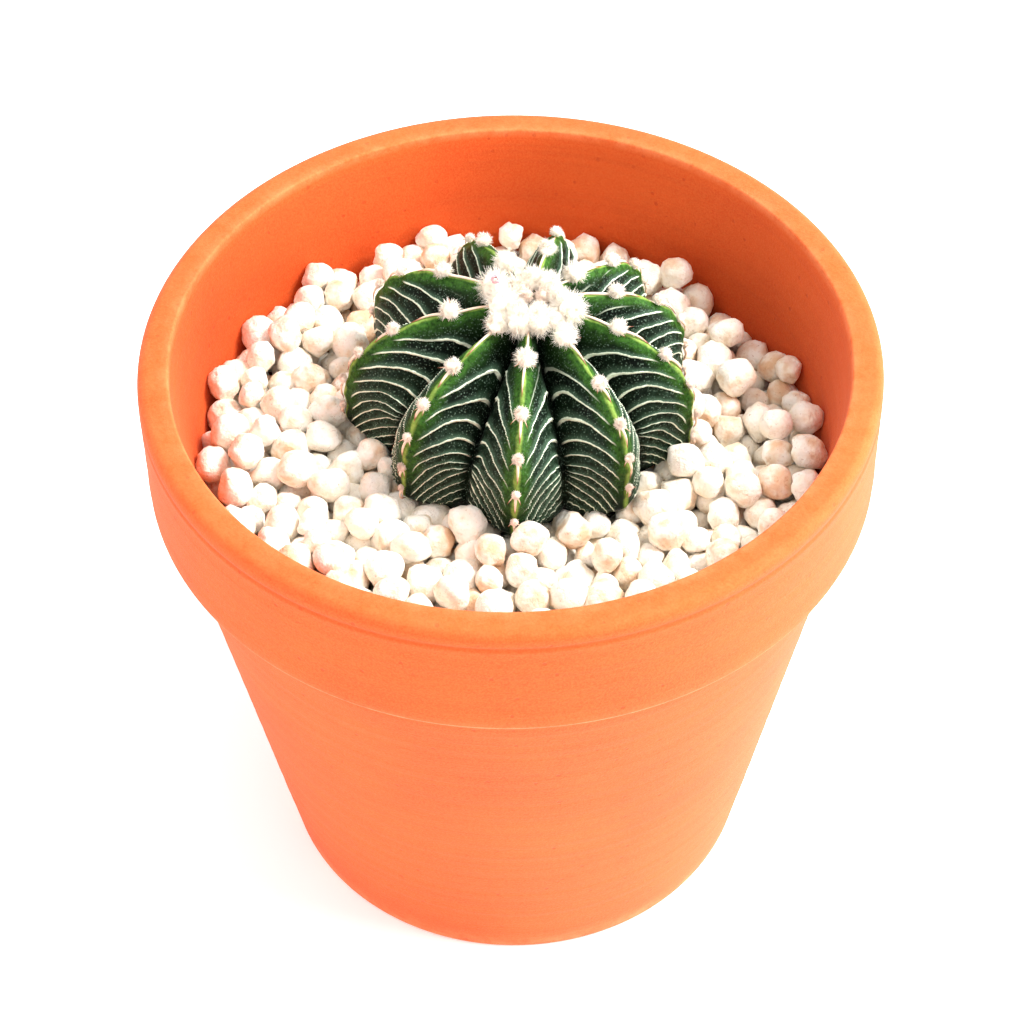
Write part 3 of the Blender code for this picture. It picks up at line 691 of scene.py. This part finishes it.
def makePumice():
    # pumice: light volcanic froth, tumbled round. Chalky and matt, white to cream, with shallow
    # dimples, tan stains on some granules, and painted shade in the pin holes
    material, tree, shader, place, stain = newMaterial("pumice", {
        "Roughness": 0.88, "IOR": 1.5, "Specular IOR Level": 0.2}, "stain")
    apart = node(tree, "Math", {"operation": "MULTIPLY"}, {0: stain, 1: 40.0})
    shades = node(tree, "TexNoise", {"noise_dimensions": "4D"}, {
        "Vector": place, "W": apart, "Scale": 320.0, "Detail": 4.0})         # shades of 3 mm
    grit = node(tree, "TexNoise", inputs={
        "Vector": place, "Scale": 1700.0, "Detail": 4.0, "Roughness": 0.7})  # froth drawn 0.6 mm
    lumps = node(tree, "TexNoise", inputs={
        "Vector": place, "Scale": 900.0, "Detail": 2.0})                    # bubbles of 1.1 mm
    reach = node(tree, "Math", {"operation": "MULTIPLY_ADD"}, {0: stain, 1: 0.24, 2: shades})
    body = granules["white"]
    # painted shade: dark brown spots where the froth noise is lowest stand in for pin holes
    for row, over in (((shades, 0.40, 0.66), "cream"), ((reach, 0.60, 0.82, 0.0, 0.72), "tan"),
                      ((grit, 0.30, 0.40, 0.5, 0.0), "pinholeShade")):
        share = node(tree, "MapRange", inputs=dict(zip(rangeInputs, row)))
        body = node(tree, "Mix", {"data_type": "RGBA"}, {
            "Factor": share, "A": body, "B": granules[over]})
    tree.links.new(body.outputs[2], shader.inputs["Base Color"])
    rough = node(tree, "Math", {"operation": "MULTIPLY_ADD"}, {0: lumps, 1: 1.6, 2: grit})
    node(tree, "Bump", inputs={"Height": rough, "Strength": 0.6, "Distance": 0.00045},
         feeds=shader.inputs["Normal"])
    return material


def buildGranules(material):
    rng = np.random.default_rng(8)
    looseNodes = sorted(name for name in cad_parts
                        if name.startswith("granule_") and name != "granule_bed")
    boxes = np.array([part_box(name) for name in looseNodes]) / mm
    looseCentres = boxes.mean(1)
    looseRadii = (boxes[:, 1] - boxes[:, 0]).mean(-1) / 2.0
    centres, radii = settleGranules(rng, looseCentres, looseRadii)
    count = len(looseNodes)
    points, faces, stain = granuleShapes(rng, looseCentres, looseRadii, 3)
    perGranule = len(points) // count
    points = points.reshape(count, perGranule, 3)
    stain = stain.reshape(count, perGranule)
    for number in range(count):
        mesh = newMesh(f"looseGranule{number + 1:02d}", points[number], faces[:len(faces) // count])
        setAttributes(mesh, stain=stain[number])
        addPiece(mesh, material, "granules", looseNodes[number])

    # the rest of the fill, in sectors round the pot
    centres, radii = centres[count:], radii[count:]
    kept = centres[:, 2] + radii < granules["top"] + 2.5
    centres, radii = centres[kept], radii[kept]
    sector = (np.arctan2(centres[:, 1], centres[:, 0]) / tau % 1.0 * granules["sectors"]).astype(int)
    for number in range(granules["sectors"]):
        parts = []
        for detail, shown in ((3, centres[:, 2] > granules["fineAbove"]),
                              (2, centres[:, 2] <= granules["fineAbove"])):
            chosen = shown & (sector == number)
            parts.append(granuleShapes(rng, centres[chosen], radii[chosen], detail))
        mesh = newMesh(f"granules{number + 1:02d}", *joined(parts))
        setAttributes(mesh, stain=np.concatenate([part[2] for part in parts]))
        addPiece(mesh, material, "granules", "granule_bed")
    tops = centres[:, 2] + radii
    print("granules settled:", len(radii), "highest", round(float(tops.max()), 1),
          "upper tenth", round(float(np.percentile(tops, 90)), 1))


buildGranules(makePumice())


mix = {                       # millimetres
    "top": 74.0,
    "gap": 0.4,
    "rootGap": 0.6,
    "columns": 160,
    "facet": 1.6,
    "crumb": 0.7,
    "peat": "#2A1A10",
    "bark": "#5A3A22",
    "grit": "#8E7A63",
}


def makePottingMix():
    # potting mix: dark peat with bark crumbs and a little grit, damp and dull
    material, tree, shader, place = newMaterial("pottingMix", {
        "Roughness": 0.95, "Specular IOR Level": 0.2})
    crumbs = node(tree, "TexVoronoi", inputs={"Vector": place, "Scale": 520.0})      # 2 mm
    fibre = node(tree, "TexNoise", inputs={
        "Vector": place, "Scale": 900.0, "Detail": 6.0, "Roughness": 0.7})  # fibres of 1 mm
    body = mix["peat"]
    for row, over in (((crumbs.outputs["Color"], 0.45, 0.85), "bark"),
                      ((fibre, 0.60, 0.66, 0.0, 0.7), "grit")):
        share = node(tree, "MapRange", inputs=dict(zip(rangeInputs, row)))
        body = node(tree, "Mix", {"data_type": "RGBA"}, {"Factor": share, "A": body, "B": mix[over]})
    tree.links.new(body.outputs[2], shader.inputs["Base Color"])
    height = node(tree, "Math", {"operation": "SUBTRACT"}, {0: fibre, 1: crumbs})
    node(tree, "Bump", inputs={"Height": height, "Strength": 0.8, "Distance": 0.0008},
         feeds=shader.inputs["Normal"])
    return material


def buildPottingMix(material):
    # a turned block of crumbs, with a room for the root that goes down into it
    gap, rootGap = mix["gap"], mix["rootGap"]
    floor, corner = pot["floor"] + gap, pot["floor"] + pot["floorRound"]
    rootZ = np.array(stem["underHeights"][4:]) + pot["fillLevel"]
    rootR = np.array(stem["underRadii"][4:]) + rootGap
    shaft = np.stack([rootR, rootZ - rootGap * (rootR == rootGap)], -1)[::-1]
    shaftTop = np.array([(np.interp(mix["top"], rootZ[::-1], rootR[::-1]), mix["top"])])
    edge = np.array([(innerRadius(mix["top"]) - gap, mix["top"]), (innerRadius(corner) - gap, corner),
                     (innerRadius(corner) - pot["floorRound"], floor), (0.05, floor)])
    shaft = shaft[shaft[:, 1] < mix["top"]]
    shaft[0, 0] = 0.05
    section = outline(np.concatenate([shaftTop, edge, shaft])[:, None], mix["facet"])
    turn = np.arange(mix["columns"]) * tau / mix["columns"]
    inShaft = (section[:, 1] > floor + 1.0) & (section[:, 0] < 12.0)
    shift = np.where(inShaft[:, None], stemCentre[:2], 0.0)
    r, z = section[:, :1], np.repeat(section[:, 1:], mix["columns"], 1)
    points = np.stack([r * np.cos(turn) + shift[:, :1], r * np.sin(turn) + shift[:, 1:], z], -1)
    rng = np.random.default_rng(3)
    lumps = np.abs(ripples(points, rng, 5.0)) + 0.6 * np.abs(ripples(points, rng, 2.2))
    inner = smooth(np.linalg.norm(points[..., :2], axis=-1), 0.0, 6.0)
    points[..., 2] -= mix["crumb"] * lumps * (points[..., 2] > mix["top"] - 0.1) * inner
    pull = 1.0 - 0.25 * mix["crumb"] * lumps / np.maximum(r, 8.0)
    points[..., :2] = shift[:, None] + (points[..., :2] - shift[:, None]) * pull[..., None]
    points = points.reshape(-1, 3)
    faces = gridFaces(len(section) + 1, mix["columns"]) % len(points)
    mesh = newMesh("pottingMixCrumbs", points, faces[:, ::-1])
    addPiece(mesh, material, "potting_mix", "potting_mix")


buildPottingMix(makePottingMix())
print("fill laid")


wool = {                      # millimetres
    "tuftAngles": (-16.0, 0.0, 30.0, 54.0, 68.0, 77.0),     # up a rib, and a tuft's radius there
    "tuftRadii": (0.50, 0.62, 0.78, 1.05, 1.32, 1.72),
    "sink": 0.35,             # how much of its radius a tuft sits in the crest
    "coreShare": 0.88,        # radius of the felt inside it
    "hairsPerTuft": 640,
    "hairThickness": 0.055,   # real hairs are finer; drawn as coarse as they need to show
    "hairReach": 0.62,        # hair length for a tuft radius of 1
    "oldHairReach": 0.48,     # and on the oldest tufts, by the granules
    "curl": 0.45,
    "felt": "#FFF9EE",
    # painted shade, deep in a tuft and towards the hairs' roots
    "paintedShade": "#DBC6A2",
    "blush": "#EBC8B4",
}
spines = {                    # millimetres
    "thickness": 0.50,
    "uprightRib": 8,          # one spine of this rib's first tuft stands up
    "uprightLength": 3.4,
    "lift": 0.28,
    "bow": 0.35,
    "sideLength": 2.6,
    "sideThickness": 0.22,
    "base": "#F8E6D2",
    "middle": "#EAC3A6",
    "tip": "#8A3F26",
}
crown = {                     # millimetres: compass angle in degrees, distance, radius, age
    "lobes": ((151, 6.3, 2.45, 0.0), (194, 4.5, 2.30, 0.0), (252, 5.4, 2.15, 0.0),
              (283, 5.1, 2.20, 0.0), (313, 5.4, 1.65, 0.1), (340, 6.6, 2.40, 0.0),
              (2, 4.7, 1.75, 0.2), (52, 4.6, 1.90, 0.1), (86, 4.6, 1.95, 0.1),
              (122, 3.5, 1.55, 0.3), (225, 2.7, 1.35, 0.5), (305, 2.4, 1.25, 0.7),
              (30, 2.3, 1.20, 0.8), (130, 1.3, 1.25, 0.9)),
    "hairsPerLobe": 950,
}


def makeWool():
    # areole wool: short matted plant hairs, white like cotton, pinkish tan where it is old, with painted
    # shade in cream to tan deep in the tuft and towards the hairs' roots
    material, tree, shader, place, age, depth = newMaterial("areoleWool", {
        "Roughness": 1.0, "Specular IOR Level": 0.1,
        "Sheen Weight": 0.35, "Sheen Roughness": 0.5}, "age", "depth")
    matting = node(tree, "TexNoise", inputs={
        "Vector": place, "Scale": 900.0, "Detail": 4.0, "Roughness": 0.6})   # clumps of 1 mm
    matted = node(tree, "MapRange", inputs={
        "Value": matting, "From Min": 0.40, "From Max": 0.70, "To Max": 0.35})
    # painted shade deep in the tuft and towards the hairs' roots, with cream clumps where it mats
    deep = node(tree, "Math", {"operation": "MULTIPLY_ADD"}, {0: depth, 1: 0.55, 2: matted})
    old = node(tree, "Math", {"operation": "MULTIPLY"}, {0: age, 1: 0.55})
    body = wool["felt"]
    for share, over in ((deep, "paintedShade"), (old, "blush")):
        body = node(tree, "Mix", {"data_type": "RGBA"}, {"Factor": share, "A": body, "B": wool[over]})
    tree.links.new(body.outputs[2], shader.inputs["Base Color"])
    node(tree, "Bump", inputs={"Height": matting, "Strength": 0.6, "Distance": 0.0002},
         feeds=shader.inputs["Normal"])
    return material


def makeSpine():
    # cactus spine: hard dead horn, smooth and faintly glossy, cream with a red-brown point
    material, tree, shader, place, along = newMaterial("spineHorn", {
        "Roughness": 0.42, "IOR": 1.5}, "along")
    rings = node(tree, "TexNoise", inputs={
        "Vector": place, "Scale": 1400.0, "Detail": 3.0})                   # growth rings of 0.7 mm
    uneven = node(tree, "Math", {"operation": "MULTIPLY_ADD"}, {0: rings, 1: 0.30, 2: along})
    node(tree, "ValToRGB", inputs={"Fac": uneven}, feeds=shader.inputs["Base Color"], stops=(
        (0.20, spines["base"]), (0.75, spines["middle"]), (1.0, spines["tip"])))
    node(tree, "Bump", inputs={"Height": rings, "Strength": 0.4, "Distance": 0.0001},
         feeds=shader.inputs["Normal"])
    return material


def woolTuft(rng, centre, outward, radius, age, hairs):
    # a lumpy felt core and the hairs that stand out of it: blocks of points, quads and triangles
    ball, triangles = ballShape(3)
    core = ball * radius * wool["coreShare"]
    core = core + unit(core) * (0.16 * ripples(core, rng, 1.6) * radius
                                + 0.05 * ripples(core, rng, 0.5))[:, None]
    directions = unit(rng.normal(size=(hairs * 2, 3)))
    directions = directions[directions @ outward > -0.45][:hairs]
    count = len(directions)
    hairReach = wool["hairReach"] + (wool["oldHairReach"] - wool["hairReach"]) * age
    length = radius * hairReach * rng.uniform(0.55, 1.15, count)
    start = directions * radius * 0.70
    bend = unit(rng.normal(size=(count, 3)))
    share = np.array([0.0, 0.4, 0.75, 1.0])
    straight = directions[:, None] * (length[:, None] * share)[..., None]
    curl = bend[:, None] * (wool["curl"] * length[:, None] * share ** 2)[..., None]
    paths = start[:, None] + straight + curl
    width = wool["hairThickness"] / 2.0 * np.array([1.0, 1.0, 0.75, 0.3])
    points, quads, lids = strands(paths, np.repeat(width[None], count, 0), 3)
    # painted shade: darker towards each hair's root, and in the felt core
    hairRootShade = np.repeat(np.tile(1.0 - share * 1.2, (count, 1)), 3, -1)
    depth = np.append(np.full(len(core), 0.35), np.clip(hairRootShade, 0.0, 1.0))
    shape = np.concatenate([core, points]) + centre
    return shape, quads + len(core), np.concatenate([triangles, lids + len(core)]), depth


def woolMesh(name, rng, tufts, hairs):
    # tufts: (centre, outward, radius, age)
    blocks = [[], [], [], []]
    ages = []
    start = 0
    for centre, outward, radius, age in tufts:
        points, quads, triangles, depth = woolTuft(rng, centre, outward, radius, age, hairs)
        for block, item in zip(blocks, (points, quads + start, triangles + start, depth)):
            block.append(item)
        ages.append(np.full(len(points), age))
        start += len(points)
    points, quads, triangles, depth = [np.concatenate(block) for block in blocks]
    mesh = newMesh(name, points, quads, triangles)
    setAttributes(mesh, depth=depth, age=np.concatenate(ages))
    return mesh


def spineMesh(name, paths, widths):
    # smooth tapered spines; paths have the same number of points
    steps = paths.shape[1]
    share = np.linspace(0.0, 1.0, steps)
    taper = (1.0 - share ** 2.2) * 0.92 + 0.08
    taper[0] = 0.8
    points, quads, lids = strands(paths, widths[:, None] / 2.0 * taper, 8)
    mesh = newMesh(name, points, quads, lids)
    setAttributes(mesh, along=np.repeat(np.tile(share, (len(paths), 1)), 8, -1))
    return mesh


def crestSpine(rng, rib, start, end, steps):
    # a spine that lies along the crest, a little bowed and skewed
    skew = rng.uniform(-0.35, 0.35)
    points = []
    for share in np.linspace(0.0, 1.0, steps):
        here, _, out, side = crestFrame(start + (end - start) * share, rib)
        lift = spines["lift"] + spines["bow"] * math.sin(math.pi * min(share * 1.15, 1.0))
        points.append(here + out * lift + side * skew * math.sin(math.pi * share * 0.7))
    return np.array(points)


def buildAreoles(woolMaterial, spineMaterial):
    steps = 12
    for rib in range(ribs):
        rng = np.random.default_rng(100 + rib)
        angles = tuftAngles(rib, -16.0)
        tufts, paths, widths = [], [], []
        for number, angle in enumerate(angles):
            share = np.clip(angle, 0.0, 75.0) / 75.0
            radius = np.interp(angle, wool["tuftAngles"], wool["tuftRadii"]) * rng.uniform(0.92, 1.08)
            here, down, out, side = crestFrame(angle, rib)
            centre = here + out * radius * (1.0 - wool["sink"])
            tufts.append((centre, out, radius, 1.0 - share))
            following = angles[number + 1] if number + 1 < len(angles) else angle - 13.0
            reach = angle + (following - angle) * rng.uniform(0.50, 0.78)
            paths.append(crestSpine(rng, rib, angle - 1.0, reach, steps))
            widths.append(spines["thickness"] * rng.uniform(0.85, 1.1))
            for turn in (-1.0, 1.0):
                length = spines["sideLength"] * rng.uniform(0.7, 1.2) * (0.75 + 0.25 * share)
                aim = unit(down * rng.uniform(0.5, 1.0) + side * turn * rng.uniform(0.5, 0.9)
                           + out * rng.uniform(-0.05, 0.35))
                along = np.linspace(0.0, 1.0, steps)[:, None]
                start = here + out * radius * 0.4
                curve = side * turn * -0.15 * length
                paths.append(start + aim * length * along + curve * along ** 2)
                widths.append(spines["sideThickness"])
        paths.append(crestSpine(rng, rib, 86.0, angles[0] + 1.0, steps)[::-1])
        widths.append(spines["thickness"] * 0.9)
        if rib == spines["uprightRib"]:
            here, down, out, side = crestFrame(angles[0], rib)
            along = np.linspace(0.0, 1.0, steps)[:, None]
            aim = unit(out - 0.25 * down - 0.15 * side)
            paths.append(here + aim * spines["uprightLength"] * along + down * 0.5 * along ** 2)
            widths.append(spines["thickness"] * 0.7)
        hairy = woolMesh(f"areoleWool{rib + 1:02d}", rng, tufts, wool["hairsPerTuft"])
        addPiece(hairy, woolMaterial, "wool", f"areole_row_{rib + 1:02d}")
        spiny = spineMesh(f"spines{rib + 1:02d}", np.array(paths), np.array(widths))
        addPiece(spiny, spineMaterial, "wool", f"areole_row_{rib + 1:02d}")


def buildCrown(woolMaterial):
    rng = np.random.default_rng(77)
    top = stemPoints(np.array([90.0]), np.array([0.0]))[0]
    tufts = []
    for compass, distance, radius, age in crown["lobes"]:
        azimuth = math.radians(compass)
        place = np.array([distance * math.cos(azimuth), distance * math.sin(azimuth), 0.0])
        height = radius * 0.80 - 0.020 * distance ** 2
        outward = unit(place * 0.08 + np.array([0.0, 0.0, 1.0]))
        tufts.append((top + place + np.array([0.0, 0.0, height]), outward, radius, age))
    mesh = woolMesh("crownWool", rng, tufts, crown["hairsPerLobe"])
    addPiece(mesh, woolMaterial, "wool", "crown_wool")


bud = {                       # millimetres
    "radius": 0.62,
    "height": 2.2,
    "lean": 42.0,             # degrees, over to the front
    "scales": 11,
    "scaleTurn": 2.4,         # radians from a scale to the next one up the spiral
    "scaleThickness": 0.10,
    "scaleRows": 9,
    "scaleColumns": 5,
    "pink": "#E0526E",
    "pale": "#F7B9BE",
    "deep": "#A82743",
}


def makePetal():
    # bud scales: thin juicy petal tissue, satin, deep pink at the foot and pale at the edges
    material, tree, shader, place, along = newMaterial("budPetal", {
        "Roughness": 0.5, "IOR": 1.4, "Sheen Weight": 0.2}, "along")
    veins = node(tree, "TexNoise", inputs={"Vector": place, "Scale": 5000.0})    # 0.2 mm
    uneven = node(tree, "Math", {"operation": "MULTIPLY_ADD"}, {0: veins, 1: 0.4, 2: along})
    node(tree, "ValToRGB", inputs={"Fac": uneven}, feeds=shader.inputs["Base Color"], stops=(
        (0.15, bud["deep"]), (0.65, bud["pink"]), (1.0, bud["pale"])))
    node(tree, "Bump", inputs={"Height": veins, "Strength": 0.4, "Distance": 0.00005},
         feeds=shader.inputs["Normal"])
    return material


def buildBud(material):
    # pointed scales that overlap in a spiral round a small cone
    middle = np.array(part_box("flower_bud")).mean(0) / mm
    lean = math.radians(bud["lean"])
    upward = np.array([0.0, -math.sin(lean), math.cos(lean)])
    backward = np.array([0.0, math.cos(lean), math.sin(lean)])
    rng = np.random.default_rng(4)
    share = np.linspace(0.0, 1.0, bud["scaleRows"])[:, None]
    around = np.linspace(-1.0, 1.0, bud["scaleColumns"])
    width = (np.sin(math.pi * share ** 0.8) * 0.75 + 0.25) * (1.0 - share ** 4)
    ringSize = bud["scaleColumns"] * 2
    parts = []
    for number in range(bud["scales"]):
        lift = number / bud["scales"]
        z = bud["height"] * (0.15 * lift + share * (0.62 + 0.38 * lift))
        sheets = []
        for face in (1, -1):
            angle = number * bud["scaleTurn"] + around[::face] * width
            r = bud["radius"] * (1.0 - 0.45 * lift) * (0.75 + 0.55 * np.sin(math.pi * share * 0.62))
            r = r * (1.0 - 0.55 * share ** 3) + face * bud["scaleThickness"] / 2.0
            r = r + 0.06 * rng.uniform(-1.0, 1.0)
            sheets.append(np.stack([r * np.cos(angle), r * np.sin(angle),
                                    np.broadcast_to(z, angle.shape)], -1))
        x, y, up = np.concatenate(sheets, 1).reshape(-1, 3).T[:, :, None]
        up = up - 0.6 * bud["height"]
        points = middle + np.array([1.0, 0.0, 0.0]) * x + backward * y + upward * up
        parts.append((points, gridFaces(bud["scaleRows"], ringSize)[:, ::-1]))
    points, faces = joined(parts)
    ring = np.arange(ringSize)
    starts = np.arange(bud["scales"])[:, None] * len(parts[0][0])
    caps = np.concatenate([starts + ring, starts + len(parts[0][0]) - 1 - ring])
    mesh = newMesh("budScales", points, faces, caps)
    setAttributes(mesh, along=np.tile(np.repeat(share[:, 0], ringSize), bud["scales"]))
    addPiece(mesh, material, "petals", "flower_bud")


felt = makeWool()
buildAreoles(felt, makeSpine())
buildCrown(felt)
buildBud(makePetal())
print("wool, spines and bud set")


studio = {
    "viewHeight": 69.4,       # millimetres: the height on the pot's axis that the camera looks at
    "viewDistance": 500.8,
    "viewElevation": 47.5,    # degrees
    "viewRoll": -0.7,
    "lens": 103.5,
    "paperSize": 6000.0,
    "paper": "#FFFFFF",
    "paperGlow": 0.08,        # light that comes through the paper from behind
    "skyStrength": 1.15,
    "lamps": {                # watts, then place and width in metres
        "keyLamp": (12.5, (0.55, 0.10, 0.75), 0.35),
        "fillLamp": (3.6, (-0.8, -0.4, 0.4), 0.6),
        "sideLamp": (10.0, (0.85, -0.20, 0.28), 0.4),
    },
}


def makePaper():
    # seamless studio paper: white, matt, with a faint tooth
    material, tree, shader, place = newMaterial("studioPaper", {
        "Roughness": 0.9, "Specular IOR Level": 0.0, "Base Color": studio["paper"],
        "Emission Color": studio["paper"], "Emission Strength": studio["paperGlow"]})
    tooth = node(tree, "TexNoise", inputs={"Vector": place, "Scale": 900.0})     # 1 mm
    node(tree, "Bump", inputs={"Height": tooth, "Strength": 0.1, "Distance": 0.0001},
         feeds=shader.inputs["Normal"])
    return material


def buildStudio():
    half = studio["paperSize"] / 2.0
    corners = np.array([(-half, -half, 0), (half, -half, 0), (half, half, 0), (-half, half, 0)])
    mesh = newMesh("studioFloor", corners, np.array([[0, 1, 2, 3]]))
    mesh.materials.append(makePaper())
    floor = bpy.data.objects.new("studioFloor", mesh)
    bpy.context.scene.collection.objects.link(floor)
    world = bpy.data.worlds.new("studio")
    world.use_nodes = True
    sky = world.node_tree.nodes["Background"]
    sky.inputs["Color"].default_value = linear(studio["paper"])
    sky.inputs["Strength"].default_value = studio["skyStrength"]
    bpy.context.scene.world = world
    for name, (power, place, width) in studio["lamps"].items():
        light = bpy.data.lights.new(name, "AREA")
        light.shape, light.size, light.energy = "DISK", width, power
        lamp = bpy.data.objects.new(name, light)
        bpy.context.scene.collection.objects.link(lamp)
        lamp.location = place
        aim = Vector((0.0, 0.0, studio["viewHeight"] * mm)) - lamp.location
        lamp.rotation_euler = aim.to_track_quat("-Z", "Y").to_euler()


def buildCamera():
    lens = bpy.data.cameras.new("camera")
    lens.lens = studio["lens"]
    lens.sensor_width = 36.0
    lens.clip_start = 0.01
    camera = bpy.data.objects.new("camera", lens)
    bpy.context.scene.collection.objects.link(camera)
    elevation = math.radians(studio["viewElevation"])
    back = Vector((0.0, -math.cos(elevation), math.sin(elevation)))
    target = Vector((0.0, 0.0, studio["viewHeight"] * mm))
    tilt = Matrix.Rotation(math.radians(90.0 - studio["viewElevation"]), 4, "X")
    roll = Matrix.Rotation(math.radians(studio["viewRoll"]), 4, "Z")
    camera.matrix_world = Matrix.Translation(target + back * studio["viewDistance"] * mm) @ tilt @ roll
    bpy.context.scene.camera = camera


buildStudio()
buildCamera()
bpy.context.scene.view_settings.view_transform = "Standard"
print("studio set")
